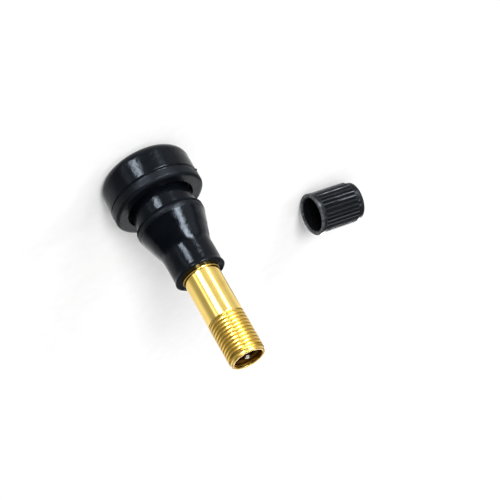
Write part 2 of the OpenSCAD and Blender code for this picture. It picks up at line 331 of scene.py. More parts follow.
def round_points(radius: Array, height: Array, angle: Array) -> Array:
    """Turns radius, height and angle into points: radius times cosine and sine, and the height."""
    return np.stack([radius * np.cos(angle), radius * np.sin(angle), height], axis=-1)


class Sheet:
    """A node sheet, with short calls for the nodes that the finishes and the studio use."""

    def __init__(self, tree: bpy.types.NodeTree) -> None:
        """Empties the tree of a material or of the world to work in."""
        self._tree = tree
        self._tree.nodes.clear()

    def node(self, kind: str, inputs: dict, **settings: str) -> bpy.types.Node:
        """Adds a node.

        Args:
            kind: Blender's name of its kind.
            inputs: What each input takes, by name or number: another node's socket or a value.
            settings: The node's own settings.

        Returns:
            The node.
        """
        node = self._tree.nodes.new(kind)
        for name, setting in settings.items():
            setattr(node, name, setting)
        for name, value in inputs.items():
            if isinstance(value, Socket):
                self._tree.links.new(value, node.inputs[name])
            else:
                node.inputs[name].default_value = value
        return node

    def math(self, operation: str, first: Socket, last: Socket | float = 0.0) -> Socket:
        """Works out an operation, named as in Blender, of a value and another one or a number."""
        return self.node("ShaderNodeMath", {0: first, 1: last}, operation=operation).outputs["Value"]

    def span(self, value: Socket, low: float, high: float, first: float, last: float) -> Socket:
        """Maps a value from low to high onto first to last, with eased ends, and holds it beyond."""
        ends = {"Value": value, "From Min": low, "From Max": high, "To Min": first, "To Max": last}
        return self.node("ShaderNodeMapRange", ends, interpolation_type="SMOOTHSTEP").outputs["Result"]

    def ramp(self, value: Socket, colours: dict[float, Colour]) -> Socket:
        """Blends colours along a value.

        Args:
            value: The value that is read.
            colours: The colours by their place along it, rising from 0 to 1.

        Returns:
            The blended colour.
        """
        node = self.node("ShaderNodeValToRGB", {"Fac": value})
        stops = node.color_ramp.elements
        while len(stops) < len(colours):
            stops.new(0.5)
        for stop, (place, colour) in zip(stops, colours.items()):
            stop.position = place
            stop.color = (*colour, 1.0)
        return node.outputs["Color"]


class FinishSheet(Sheet):
    """A material's node sheet, which reads the Object coordinates and the mesh's marks."""

    def __init__(self, name: str) -> None:
        """Makes an empty material.

        Args:
            name: Name of the material.
        """
        self._material = bpy.data.materials.new(name)
        self._material.use_nodes = True
        super().__init__(self._material.node_tree)
        self._place = self.node("ShaderNodeTexCoord", {}).outputs["Object"]

    def stretched(self, scale: Triple) -> Socket:
        """Gives the Object coordinates, scaled along each axis."""
        return self.node("ShaderNodeMapping", {"Vector": self._place, "Scale": scale}).outputs["Vector"]

    def noise(self, scale: float, detail: float, vector: Socket | None = None) -> Socket:
        """Gives a noise from 0 to 1, of so many waves to the metre and so many finer layers."""
        inputs = {"Vector": vector or self._place, "Scale": scale, "Detail": detail}
        return self.node("ShaderNodeTexNoise", inputs).outputs["Fac"]

    def mark(self, name: str) -> Socket:
        """Reads a number that the mesh keeps for each point, or 0 where it keeps none."""
        return self.node("ShaderNodeAttribute", {}, attribute_name=name).outputs["Fac"]

    def mixed(self, share: Socket, first: Socket, last: Colour) -> Socket:
        """Mixes a share of a fixed colour, the last, over the first one."""
        inputs = {MIX_SHARE: share, MIX_FIRST: first, MIX_LAST: (*last, 1.0)}
        return self.node("ShaderNodeMix", inputs, data_type="RGBA").outputs[MIX_RESULT]

    def bump(self, height: Socket, strength: float, depth_mm: float) -> Socket:
        """Gives the normal of a surface that a height roughens, by a strength and a depth."""
        inputs = {"Height": height, "Strength": strength, "Distance": depth_mm * MM}
        return self.node("ShaderNodeBump", inputs).outputs["Normal"]

    def finished(self, inputs: dict) -> bpy.types.Material:
        """Closes the sheet with the shader.

        Args:
            inputs: What the shader's inputs take, by name.

        Returns:
            The material.
        """
        shader = self.node("ShaderNodeBsdfPrincipled", inputs)
        self.node("ShaderNodeOutputMaterial", {"Surface": shader.outputs["BSDF"]})
        return self._material


@dataclass(frozen=True)
class MouldedFinish:
    """Moulded rubber or plastic: dark, satin, with a fine grain, dust, painted highlights and pale rims.

    Attributes:
        slot: The record's material slot.
        dark: Colour of the body.
        light: Colour where it is a little paler.
        dust_and_highlight: Colour of dust, and of the painted highlights and paler rims that the mark
            named
        edge shows.
        smooth: Roughness where it is polished.
        rough: Roughness where it is dull.
        gloss: Specular level.
        grain: Waves to the metre of the grain.
        grain_mm: Depth of the grain.
        wrinkle: Depth of coarser wrinkles, in depths of the grain.
        cast: Tint of the gloss.
        clouds: Waves to the metre of the paler clouds.
        specks: Waves to the metre of the dust.
        dusty: Share of the dust's colour in a speck.
        wear: Waves to the metre of the polished and dull patches.
        wrinkles: Waves to the metre of the wrinkles.
        dulled: Roughness that the mark named dull adds where it is one.
        matte: Roughness that it adds besides as it nears one, where dust fades out too, a painted
        shade that keeps hollows and clefts dark.
        bumpy: Strength of grain and wrinkles.
    """

    slot: str
    dark: Colour
    light: Colour
    dust_and_highlight: Colour
    smooth: float
    rough: float
    gloss: float
    grain: float
    grain_mm: float
    wrinkle: float = 0.0
    cast: Colour = (1.0, 1.0, 1.0)
    clouds: float = 380.0
    specks: float = 2600.0
    dusty: float = 0.3
    wear: float = 900.0
    wrinkles: float = 1100.0
    dulled: float = 0.35
    matte: float = 0.6
    bumpy: float = 0.6

    def material(self) -> bpy.types.Material:
        """Builds the finish.

        Returns:
            The material.
        """
        sheet = FinishSheet(f"{self.slot}_moulded")
        dull = sheet.mark("dull")
        colour = sheet.ramp(sheet.noise(self.clouds, detail=4.0), {0.3: self.dark, 0.75: self.light})
        dust = sheet.span(sheet.noise(self.specks, detail=2.0), 0.68, 0.78, 0.0, self.dusty)
        # Painted shade: dust fades out where the mark named dull nears one, so hollows and clefts stay
        # dark.
        clean = sheet.span(dull, MATTE_MARK, 1.0, 1.0, 0.0)
        colour = sheet.mixed(sheet.math("MULTIPLY", dust, clean), colour, self.dust_and_highlight)
        # Painted highlights and paler rims: the mark named edge lays this colour along the cap's ribs and
        # rims.
        colour = sheet.mixed(sheet.mark("edge"), colour, self.dust_and_highlight)
        worn = sheet.span(sheet.noise(self.wear, detail=5.0), 0.3, 0.7, self.smooth, self.rough)
        dulled = sheet.span(dull, 0.0, 1.0, 0.0, self.dulled)
        matte = sheet.span(dull, MATTE_MARK, 1.0, 0.0, self.matte)
        creased = sheet.math("MULTIPLY", sheet.noise(self.wrinkles, detail=2.0), self.wrinkle)
        relief = sheet.math("ADD", sheet.noise(self.grain, detail=3.0), creased)
        return sheet.finished({
            "Base Color": colour,
            "Roughness": sheet.math("ADD", worn, sheet.math("ADD", dulled, matte)),
            "Specular IOR Level": self.gloss,
            "Specular Tint": (*self.cast, 1.0),
            "Normal": sheet.bump(relief, self.bumpy, self.grain_mm),
        })


@dataclass(frozen=True)
class TurnedFinish:
    """Turned metal: fine rings from the lathe, a slight stain and painted shade in the thread and bore.

    Attributes:
        slot: The record's material slot.
        bright: Colour of the clean metal.
        stain: Colour where it is a little tarnished.
        groove: Colour of painted shade over the thread, full in its grooves, where the mark named
            root is a half.
        root: Colour of painted shade deep down the bore, where that mark is one.
        smooth: Roughness where it is polished.
        rough: Roughness where it is dull.
        rings: Rings to the metre along the axis.
        ring_mm: Depth of the rings.
        across: Waves to the metre of the rings' unevenness across the axis.
        stains: Waves to the metre of the stain.
        dulled: Roughness that is added in the grooves.
        bumpy: Strength of the rings.
    """

    slot: str
    bright: Colour
    stain: Colour
    groove: Colour
    root: Colour
    smooth: float
    rough: float
    rings: float
    ring_mm: float
    across: float = 60.0
    stains: float = 420.0
    dulled: float = 0.22
    bumpy: float = 0.5

    def material(self) -> bpy.types.Material:
        """Builds the finish.

        Returns:
            The material.
        """
        sheet = FinishSheet(f"{self.slot}_turned")
        depth = sheet.mark("root")
        lathe = sheet.stretched((self.across, self.across, self.rings))
        rings = sheet.noise(1.0, detail=3.0, vector=lathe)
        colour = sheet.ramp(sheet.noise(self.stains, detail=6.0), {0.42: self.bright, 0.8: self.stain})
        # Painted shade: the mark named root darkens the thread, fully in its grooves, and the bore.
        colour = sheet.mixed(sheet.span(depth, 0.0, GROOVE_MARK, 0.0, 1.0), colour, self.groove)
        colour = sheet.mixed(sheet.span(depth, GROOVE_MARK, 1.0, 0.0, 1.0), colour, self.root)
        worn = sheet.span(rings, 0.25, 0.75, self.smooth, self.rough)
        dulled = sheet.span(depth, 0.0, GROOVE_MARK, 0.0, self.dulled)
        return sheet.finished({
            "Base Color": colour,
            "Metallic": 1.0,
            "Roughness": sheet.math("ADD", worn, dulled),
            "Normal": sheet.bump(rings, self.bumpy, self.ring_mm),
        })


RUBBER = MouldedFinish(
    slot="rubber", smooth=0.1, rough=0.19, gloss=0.15, cast=(0.74, 0.86, 1.0),
    dark=(0.0006, 0.0008, 0.0014), light=(0.0015, 0.002, 0.003), dust_and_highlight=(0.02, 0.022, 0.026),
    grain=7000.0, grain_mm=0.012, wrinkle=7.0,
)
CAP_PLASTIC = MouldedFinish(
    slot="cap_plastic", smooth=0.14, rough=0.24, gloss=0.17, cast=(0.82, 0.91, 1.0),
    dark=(0.0006, 0.0007, 0.001), light=(0.0015, 0.0017, 0.0022), dust_and_highlight=(0.18, 0.19, 0.21),
    grain=9000.0, grain_mm=0.008,
)
SEAL_RUBBER = MouldedFinish(
    slot="seal_rubber", smooth=0.45, rough=0.6, gloss=0.4,
    dark=(0.01, 0.01, 0.01), light=(0.03, 0.03, 0.03), dust_and_highlight=(0.05, 0.05, 0.05),
    grain=12000.0, grain_mm=0.01,
)
GASKET_PLASTIC = MouldedFinish(
    slot="gasket", smooth=0.3, rough=0.45, gloss=0.5,
    dark=(0.42, 0.035, 0.02), light=(0.58, 0.07, 0.04), dust_and_highlight=(0.6, 0.2, 0.15),
    grain=9000.0, grain_mm=0.006,
)
BRASS = TurnedFinish(
    slot="brass", smooth=0.08, rough=0.16, rings=9000.0, ring_mm=0.003,
    bright=(0.95, 0.7, 0.2), stain=(0.88, 0.59, 0.15),
    groove=(0.62, 0.38, 0.055), root=(0.08, 0.035, 0.007),
)
CORE_BRASS = TurnedFinish(
    slot="core_brass", smooth=0.2, rough=0.34, rings=12000.0, ring_mm=0.004,
    bright=(0.72, 0.5, 0.16), stain=(0.5, 0.32, 0.1),
    groove=(0.42, 0.26, 0.08), root=(0.3, 0.18, 0.05),
)
PIN_STEEL = TurnedFinish(
    slot="pin_steel", smooth=0.18, rough=0.32, rings=14000.0, ring_mm=0.003,
    bright=(0.72, 0.72, 0.73), stain=(0.55, 0.54, 0.52),
    groove=(0.45, 0.45, 0.45), root=(0.3, 0.3, 0.3),
)
SPRING_STEEL = TurnedFinish(
    slot="spring_steel", smooth=0.2, rough=0.35, rings=20000.0, ring_mm=0.002,
    bright=(0.6, 0.6, 0.62), stain=(0.45, 0.44, 0.43),
    groove=(0.35, 0.35, 0.35), root=(0.2, 0.2, 0.2),
)


def paint(piece: bpy.types.Object, finish: MouldedFinish | TurnedFinish) -> None:
    """Gives a piece its finish and names the slot that it takes it from."""
    piece.data.materials.append(finish.material())


@dataclass
class BrassStem:
    """The turned stem: a foot and grip rings inside the rubber, and the cap thread at the tip.

    All sizes are in millimetres, named as on the drawing of a turned part.
    """

    radius: float = mount_of("stem_thread")["dims"]["r_mm"]
    foot_z: float = float(node_box("brass_stem")[0][2])
    tip_z: float = float(node_box("brass_stem")[1][2])
    rubber_z: float = float(node_box("rubber_body")[1][2])
    foot_proud: float = 1.35
    foot_t: float = 1.3
    grip_z: float = 9.0
    grip_count: int = 3
    grip_pitch: float = 2.4
    grip_len: float = 0.9
    grip_proud: float = 0.4
    collar_proud: float = 0.15
    collar_len: float = 0.35
    thread: Thread = Thread(pitch=0.794, depth=0.17)
    thread_len: float = 9.3
    thread_round: float = 3.5
    thread_lead: float = 0.3
    # Share of painted shade on the whole thread, before its grooves add more.
    thread_shade: float = 0.32
    runout_w: float = 0.1
    nose_h: float = 0.75
    nose_step: float = 0.22
    nose_ease: float = 0.6
    rim_edge: float = 0.08
    air_r: float = 1.6
    lower_r: float = 1.94
    chamber_r: float = 2.29
    core_r: float = 2.54
    mouth_flare: float = 0.5
    mouth_wall: float = 1.0
    mouth_depth: float = 1.4
    core_thread: Thread = Thread(pitch=0.7056, depth=0.28, crest=0.16, root=0.2)
    core_drop: float = 6.3
    seat_drop: float = 8.05
    seat_end_drop: float = 9.35
    lower_end_drop: float = 17.98
    columns: int = 176
    pitch_steps: int = 20
    core_pitch_steps: int = 10
    hidden_step: float = 1.0

    def embedded_outline(self) -> Outline:
        """Draws the stem's outside inside the rubber, from the air hole up to the rubber's end."""
        step = self.hidden_step
        foot_r = self.radius + self.foot_proud
        foot_top = self.foot_z + self.foot_t
        outline = Outline(self.air_r, self.foot_z)
        outline.run((foot_r, self.foot_z), (foot_r, foot_top), (self.radius, foot_top), step=step)
        for ring in range(self.grip_count):
            low = self.grip_z + ring * self.grip_pitch
            high = low + self.grip_len
            grip_r = self.radius + self.grip_proud
            outline.run((self.radius, low), (grip_r, high), (self.radius, high), step=step)
        return outline.run((self.radius, self.rubber_z), step=step)

    def _outline(self) -> Array:
        """Draws the whole section: up the outside, over the tip and down the bore."""
        edge, rim = self.collar_len / 3, self.rim_edge
        collar_r = self.radius + self.collar_proud
        collar_top = self.rubber_z + self.collar_len
        plain_z = self.tip_z - self.thread_len - self.thread.pitch
        nose_r = self.radius - self.nose_step
        nose_z = self.tip_z - self.nose_h
        mouth_r = self.core_r + self.mouth_flare
        core_z = self.tip_z - self.core_drop
        chamber_z = core_z - (self.core_r - self.chamber_r)
        lower_z = self.tip_z - self.lower_end_drop
        outline = self.embedded_outline()
        outline.run((collar_r, self.rubber_z), (collar_r, collar_top - edge), step=0.2)
        outline.arc(collar_r - edge, collar_top - edge, edge, 0, 90, steps=4)
        outline.run((self.radius, collar_top), step=0.2)
        outline.run((self.radius, plain_z), step=0.4)
        fine = self.thread.pitch / self.pitch_steps
        outline.run((self.radius, nose_z), (nose_r, nose_z + self.nose_step), step=fine)
        outline.arc(nose_r - rim, self.tip_z - rim, rim, 0, 90, steps=6)
        outline.arc(mouth_r + rim, self.tip_z - rim, rim, 90, 180, steps=6)
        outline.run((mouth_r, self.tip_z - self.mouth_wall), step=0.1)
        outline.run((self.core_r, self.tip_z - self.mouth_depth), step=0.08)
        outline.run((self.core_r, core_z), step=self.core_thread.pitch / self.core_pitch_steps)
        outline.run((self.chamber_r, chamber_z), step=0.2)
        outline.run((self.chamber_r, self.tip_z - self.seat_drop), step=0.6)
        outline.run((self.lower_r, self.tip_z - self.seat_end_drop), step=0.3)
        outline.run((self.lower_r, lower_z), step=1.5)
        outline.run((self.air_r, lower_z - self.lower_r + self.air_r), step=0.5)
        return outline.run((self.air_r, self.foot_z), step=3.0).points()[:-1]

    def build(self) -> bpy.types.Object:
        """Makes the stem with both threads cut into it.

        Outside, the radius falls by the thread's depth times a power of one less the thread's
        form, so that the crests are wide and round. The cut eases in after a run-out groove, and
        a plain nose limits it at the tip. In the bore the radius grows by the depth times the
        form. The mark named root paints shade: it darkens the whole thread, more so in its
        grooves, and darkens the bore from the mouth down.

        Returns:
            The stem's object.
        """
        radius, height, angle = turned_grid(self._outline(), self.columns)
        thread, core = self.thread, self.core_thread
        start_z = self.tip_z - self.thread_len
        nose_z = self.tip_z - self.nose_h
        outside = np.isclose(radius, self.radius) & (height > start_z - thread.pitch)
        form = 1.0 - (1.0 - thread.form(height, angle)) ** self.thread_round
        ease = smooth_step((height - start_z + self.thread_lead * thread.pitch) / thread.pitch)
        share = np.maximum(ease * (1.0 - form), hump(height, start_z, self.runout_w))
        cut = np.where(outside, thread.depth * share, 0.0)
        nose = smooth_step((height - nose_z + self.nose_ease) / self.nose_ease)
        cone = self.radius - self.nose_step * nose
        shaped = np.where(outside, np.minimum(self.radius - cut, cone), radius)
        bore = np.isclose(radius, self.core_r) & (height > self.tip_z - self.core_drop)
        deep = smooth_step((height - self.tip_z + self.core_drop) / core.pitch)
        deep = deep * smooth_step((self.tip_z - self.mouth_depth - height) / core.pitch)
        shaped = np.where(bore, shaped + core.depth * deep * core.form(height, angle), shaped)
        # Painted shade: a share over the thread that grows in its grooves, and in the bore a share that
        # grows from the mouth down.
        thread_shading = self.thread_shade + (GROOVE_MARK - self.thread_shade) * cut / thread.depth
        inside = radius < self.core_r + self.mouth_flare + self.rim_edge / 2
        shade = smooth_step((self.tip_z - height) / self.mouth_wall)
        root = np.where(inside & (height > self.foot_z), shade, ease * thread_shading)
        grid = round_points(shaped, height, angle)
        return Surface("brass_stem_turned", grid, Ends.LOOP, {"root": root}).build()

    def dress(self) -> None:
        """Builds the stem, gives it its finish and puts it in its solid's place."""
        stem = self.build()
        paint(stem, BRASS)
        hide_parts("brass_stem")
        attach(stem, Body.VALVE.value)


@dataclass
class RubberBody:
    """The moulded rubber: base with a parting line, grooved neck, bell and sleeve.

    All sizes are in millimetres. Those named dull are marks that the finish reads.
    """

    stem: BrassStem
    base_r: float = 9.7
    base_edge_r: float = 2.4
    face_z: float = 9.0
    face_edge_r: float = 0.7
    parting_z: float = 6.75
    flash_h: float = 0.08
    flash_w: float = 0.4
    flash_least: float = 0.12
    flash_ripple: Ripple = Ripple(seed=11, waves=9, lobes=40, length=1.0)
    nub: float = 4.5
    nub_at: float = math.radians(188)
    nub_w: float = 0.05
    seam_depth: float = 0.34
    seam_w: float = 0.12
    seam_drop: float = 0.16
    dish_r: float = 4.5
    dish_depth: float = 2.0
    neck_r: float = 6.4
    neck_top_r: float = 6.7
    neck_flare: float = 0.08
    neck_foot_h: float = 0.8
    relief_w: float = 0.8
    relief_depth: float = 1.5
    lip_z: float = 13.1
    bell_r: float = 7.32
    lip_edge_r: float = 0.18
    land_h: float = 0.7
    shoulder_r: float = 2.4
    bell_tilt: float = math.radians(17.6)
    bell_foot_r: float = 4.5
    sleeve_r: float = 5.25
    bead_r: float = 5.4
    bead_h: float = 1.0
    bead_edge_r: float = 0.3
    uneven_mm: float = 0.014
    uneven_ripple: Ripple = Ripple(seed=43, waves=16, lobes=9, length=2.2)
    uneven_fade: float = 0.4
    uneven_side: float = 0.6
    side_sink: float = 0.5
    skin_z: float = 0.4
    skin_wall: float = 0.6
    skin_above_face: float = 0.3
    band_dull: float = 0.75
    band_fade: float = 0.4
    ridge_dull: float = 0.75
    cleft_dull: float = 1.4
    lip_overhang: float = 0.1
    lip_rise: float = 0.4
    lip_w: float = 0.85
    under_rise: float = 0.15
    under_w: float = 0.28
    columns: int = 240
    skin_step: float = 0.18
    flash_step: float = 0.04
    bead_step: float = 0.08
    groove_step: float = 0.25

    def _outline(self) -> Array:
        """Draws the section: out along the underside, up the outside and down along the stem."""
        step = self.skin_step
        base, face, lip, bead = self.base_edge_r, self.face_edge_r, self.lip_edge_r, self.bead_edge_r
        end_z = self.stem.rubber_z
        sphere = (self.dish_r**2 + self.dish_depth**2) / (2 * self.dish_depth)
        rim = math.degrees(math.acos(self.dish_r / sphere))
        hole = math.degrees(math.acos(self.stem.air_r / sphere))
        centre = self.dish_depth - sphere
        hole_z = centre + sphere * math.sin(math.radians(hole))
        relief = self.relief_w / 2
        relief_z = self.face_z - self.relief_depth + relief
        tilt = math.degrees(self.bell_tilt)
        edge_z = self.lip_z + lip
        land_z = edge_z + self.land_h
        cone_z = land_z + self.shoulder_r * math.sin(self.bell_tilt)
        cone_r = self.bell_r - self.shoulder_r * (1 - math.cos(self.bell_tilt))
        cone_h = (cone_r - self.sleeve_r) / math.tan(self.bell_tilt)
        foot_r = self.sleeve_r + self.bell_foot_r
        foot_z = cone_z + cone_h + self.bell_foot_r * math.tan(self.bell_tilt / 2)
        neck_low = (self.neck_top_r - self.neck_flare, self.face_z + self.neck_foot_h)
        outline = Outline(self.stem.air_r, hole_z)
        outline.arc(0, centre, sphere, hole, rim, steps=14)
        outline.arc(self.base_r - base, base, base, -90, 0, steps=18)
        outline.run((self.base_r, self.parting_z - self.flash_w), step=step)
        outline.run((self.base_r, self.parting_z + self.flash_w), step=self.flash_step)
        outline.run((self.base_r, self.face_z - face), step=step)
        outline.arc(self.base_r - face, self.face_z - face, face, 0, 90, steps=12)
        outline.run((self.neck_r + self.relief_w, self.face_z), step=step)
        outline.arc(self.neck_r + relief, relief_z, relief, 0, -180, steps=12)
        outline.run((self.neck_r, self.face_z), step=self.groove_step)
        outline.run(neck_low, (self.neck_top_r, self.lip_z), step=step)
        outline.arc(self.bell_r - lip, edge_z, lip, -90, 0, steps=12, lead=step)
        outline.arc(self.bell_r - self.shoulder_r, land_z, self.shoulder_r, 0, tilt, steps=12, lead=step)
        outline.arc(foot_r, foot_z, self.bell_foot_r, 180 + tilt, 180, steps=12, lead=step)
        outline.run((self.sleeve_r, end_z - self.bead_h), step=step)
        outline.run((self.bead_r, end_z - bead), step=self.bead_step)
        outline.arc(self.bead_r - bead, end_z - bead, bead, 0, 90, steps=10)
        return outline.follow(self.stem.embedded_outline().points()[::-1]).points()

    def build(self) -> bpy.types.Object:
        """Makes the rubber body with its flash and a moulding's slight unevenness.

        To the turned section's radius come a ridge at the parting line, a triangle across the
        line times a ragged share round it, and a ripple of about a hundredth of a millimetre.
        A narrow cleft beside the ridge, a bell curve across the line, is taken away. The mark
        named dull is high on the band above the line, in the line itself and at the bell's lip.

        Returns:
            The body's object.
        """
        radius, height, angle = turned_grid(self._outline(), self.columns)
        side = np.isclose(radius, self.base_r)
        worn = np.clip(0.5 + 0.5 * self.flash_ripple.at(angle, 0.0), self.flash_least, 1.0)
        ragged = worn + self.nub * hump(angle, self.nub_at, self.nub_w)
        ridge = np.clip(1.0 - np.abs(height - self.parting_z) / (self.flash_w / 2), 0.0, 1.0)
        cleft = (0.5 + 0.5 * worn) * hump(height, self.parting_z - self.seam_drop, self.seam_w)
        flash = np.where(side, self.flash_h * ridge * ragged - self.seam_depth * cleft, 0.0)
        skin = (height > self.skin_z) & (radius > self.stem.radius + self.skin_wall)
        outer = radius > self.stem.radius + self.stem.foot_proud
        skin &= outer | (height > self.face_z + self.skin_above_face)
        uneven = self.uneven_mm * self.uneven_ripple.at(angle, height)
        fade = smooth_step((self.stem.rubber_z - height) / self.uneven_fade)
        moved = radius + flash + np.where(skin & ~side, uneven * fade, 0.0)
        moved = np.where(side, moved + self.uneven_side * uneven - self.side_sink * self.uneven_mm, moved)
        above = smooth_step((height - self.parting_z) / self.band_fade)
        band = np.where(radius > self.neck_r + self.relief_w, above, 0.0)
        seam = np.maximum(self.ridge_dull * ridge, np.clip(self.cleft_dull * cleft, 0.0, 1.0))
        bell = hump(height, self.lip_z + self.lip_rise, self.lip_w)
        bell = np.maximum(bell, hump(height, self.lip_z + self.under_rise, self.under_w))
        bell = bell * (radius > self.neck_top_r + self.lip_overhang)
        dull = np.maximum(np.maximum(self.band_dull * band, bell), np.where(side, seam, 0.0))
        grid = round_points(moved, height, angle)
        return Surface("rubber_body_moulded", grid, Ends.LOOP, {"dull": dull}).build()

    def dress(self) -> None:
        """Builds the body, gives it its finish and puts it in its solid's place."""
        body = self.build()
        paint(body, RUBBER)
        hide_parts("rubber_body")
        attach(body, Body.VALVE.value)


@dataclass
class DustCap:
    """The ribbed cap, lying on its flange with its mouth towards the front.

    All sizes are in millimetres, with heights from the mouth. Some shape the mark named edge,
    which paints highlights along the ribs and makes the rims paler; those named dull shape the
    mark of that name. The finish reads both marks.
    """

    mount_depth: float = 5.0
    length: float = 12.0
    bore_depth: float = 9.6
    bore_r: float = mount_of("cap_thread")["dims"]["r_mm"]
    floor_edge_r: float = 0.3
    pole_r: float = 0.4
    flare: float = 0.35
    root_r: float = 4.55
    rib_h: float = 0.3
    rib_count: int = 28
    rib_end: float = 10.5
    rib_fade: float = 0.35
    rib_start: float = 0.35
    rib_flank: float = 0.95
    rib_flank_share: float = 0.8
    rib_crown: float = 1.35
    rib_crown_share: float = 0.2
    flange_r: float = 4.95
    flange_h: float = 1.3
    flange_edge_r: float = 0.2
    collar_r: float = 4.44
    collar_edge_r: float = 0.5
    gate_r: float = 1.3
    gate_depth: float = 0.08
    thread: Thread = Thread(pitch=0.794, depth=0.3, crest=0.16, root=0.25)
    thread_end: float = 0.6
    pitch_steps: int = 9
    bore_end: float = 0.5
    bore_margin: float = 0.1
    edge_patch_ripple: Ripple = Ripple(seed=21, waves=10, lobes=30, length=3.0)
    edge_patch_least: float = 0.35
    edge_patch_more: float = 0.65
    rib_highlight_ripple: Ripple = Ripple(seed=8, waves=8, lobes=12, length=3.0)
    rib_highlight_stretch: float = 0.15
    mouth_pale: float = 0.3
    mouth_pale_w: float = 0.25
    flange_pale: float = 0.15
    flange_pale_w: float = 0.15
    rib_highlight_at: float = 0.62
    rib_highlight_w: float = 0.25
    dull: float = 0.12
    collar_dull: float = 0.6
    collar_dull_h: float = 1.5
    valley_dull: float = 0.8
    rib_columns: int = 14
    rib_ends_h: float = 0.6

    def _outline(self) -> Array:
        """Draws the section: from the bore's floor to the mouth, over it and up to the end."""
        edge, floor, collar = self.flange_edge_r, self.floor_edge_r, self.collar_edge_r
        gate_z = self.length - self.gate_depth
        outline = Outline(self.pole_r, self.bore_depth)
        outline.run((self.bore_r - floor, self.bore_depth), step=0.7)
        outline.arc(self.bore_r - floor, self.bore_depth - floor, floor, 90, 0, steps=4)
        outline.run((self.bore_r, self.flare), step=self.thread.pitch / self.pitch_steps)
        outline.run((self.bore_r + self.flare, 0.0), step=0.12)
        outline.arc(self.flange_r - edge, edge, edge, -90, 0, steps=6)
        outline.arc(self.flange_r - edge, self.flange_h - edge, edge, 0, 90, steps=6)
        outline.run((self.root_r, self.flange_h), step=0.12)
        outline.run((self.root_r, self.flange_h + self.rib_ends_h), step=0.1)
        outline.run((self.root_r, self.rib_end - self.rib_ends_h), step=0.45)
        outline.run((self.root_r, self.rib_end), step=0.06)
        outline.run((self.collar_r, self.rib_end), step=0.1)
        outline.arc(self.collar_r - collar, self.length - collar, collar, 0, 90, steps=10)
        outline.run((self.gate_r, self.length), step=0.6)
        outline.run((self.gate_r - self.gate_depth, gate_z), step=0.1)
        return outline.run((self.pole_r, gate_z), step=0.6).points()

    def _lie(self) -> tuple[Array, Array]:
        """Gives the cap's axes, as rows, and its mouth's centre, from the record's mount."""
        mount = mount_of("cap_thread")
        out = np.array(mount["axis"])
        along = -out / np.linalg.norm(out)
        down = np.array([0.0, 0.0, -1.0])
        down = down - down.dot(along) * along
        down = down / np.linalg.norm(down)
        mouth = np.array(mount["pos_m"]) / MM - along * self.mount_depth
        return np.stack([down, np.cross(along, down), along]), mouth

    def build(self) -> bpy.types.Object:
        """Makes the cap with round-topped ribs and a thread inside, where it lies.

        A rib's height is the weighted sum of two eased steps of a cosine, that of the rib count
        times the angle: a steep one for the flanks and a slower one for the crown. It fades out
        near the collar. The bore's radius grows by the thread's depth times its form. The mark
        named edge paints highlights in patches along one side of the ribs and makes the flange's
        rims paler. The mark named dull is high between the ribs and on the collar, and one all
        over the bore.

        Returns:
            The cap's object.
        """
        radius, height, angle = turned_grid(self._outline(), self.rib_count * self.rib_columns)
        ribbed = np.isclose(radius, self.root_r) & (height > self.flange_h - SAME_POINT_MM)
        wave = np.cos(self.rib_count * angle)
        rise = wave + self.rib_start
        crest = self.rib_flank_share * smooth_step(rise / self.rib_flank)
        crest = crest + self.rib_crown_share * smooth_step(rise / self.rib_crown)
        fade = smooth_step((self.rib_end - height) / self.rib_fade)
        shaped = radius + np.where(ribbed, self.rib_h * crest * fade, 0.0)
        bore = np.isclose(radius, self.bore_r) & (height < self.bore_depth - self.bore_end)
        thread = self.thread
        ease = smooth_step((self.bore_depth - self.thread_end - height) / thread.pitch)
        ease = ease * smooth_step((height - self.flare) / thread.pitch)
        shaped = np.where(bore, shaped + thread.depth * thread.form(height, angle) * ease, shaped)
        # The mark named edge, in patches: painted highlight lines along one side of each rib, and paler
        # rims at the mouth and the flange.
        patches = smooth_step(0.5 + 0.5 * self.edge_patch_ripple.at(angle, height))
        patchy = self.edge_patch_least + self.edge_patch_more * patches
        rim = self.mouth_pale * hump(height, 0.0, self.mouth_pale_w)
        rim = rim + self.flange_pale * hump(height, self.flange_h, self.flange_pale_w)
        # Painted highlights: a thin line along one side of each rib's crest, broken into stretches.
        worn = smooth_step(self.rib_highlight_ripple.at(angle, self.rib_highlight_stretch * height))
        one_side = np.sin(self.rib_count * angle) > 0.0
        line = np.where(one_side, hump(wave, self.rib_highlight_at, self.rib_highlight_w), 0.0)
        edge = np.where(ribbed, line * worn * fade, np.where(radius > self.bore_r, rim, 0.0))
        within = radius < self.bore_r + self.bore_margin
        within = within & (height < self.bore_depth + self.bore_margin)
        dull = self.dull + self.collar_dull * smooth_step((height - self.rib_end) / self.collar_dull_h)
        dull = np.where(ribbed, self.dull + self.valley_dull * (1.0 - crest) * fade, dull)
        marks = {"edge": np.clip(edge * patchy, 0.0, 1.0), "dull": np.where(within, 1.0, dull)}
        axes, mouth = self._lie()
        grid = round_points(shaped, height, angle) @ axes + mouth
        return Surface("dust_cap_ribbed", grid, Ends.FANS, marks).build()

    def dress(self) -> None:
        """Builds the cap, gives it its finish and puts it in its solid's place."""
        cap = self.build()
        paint(cap, CAP_PLASTIC)
        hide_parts("dust_cap")
        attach(cap, Body.VALVE.value)


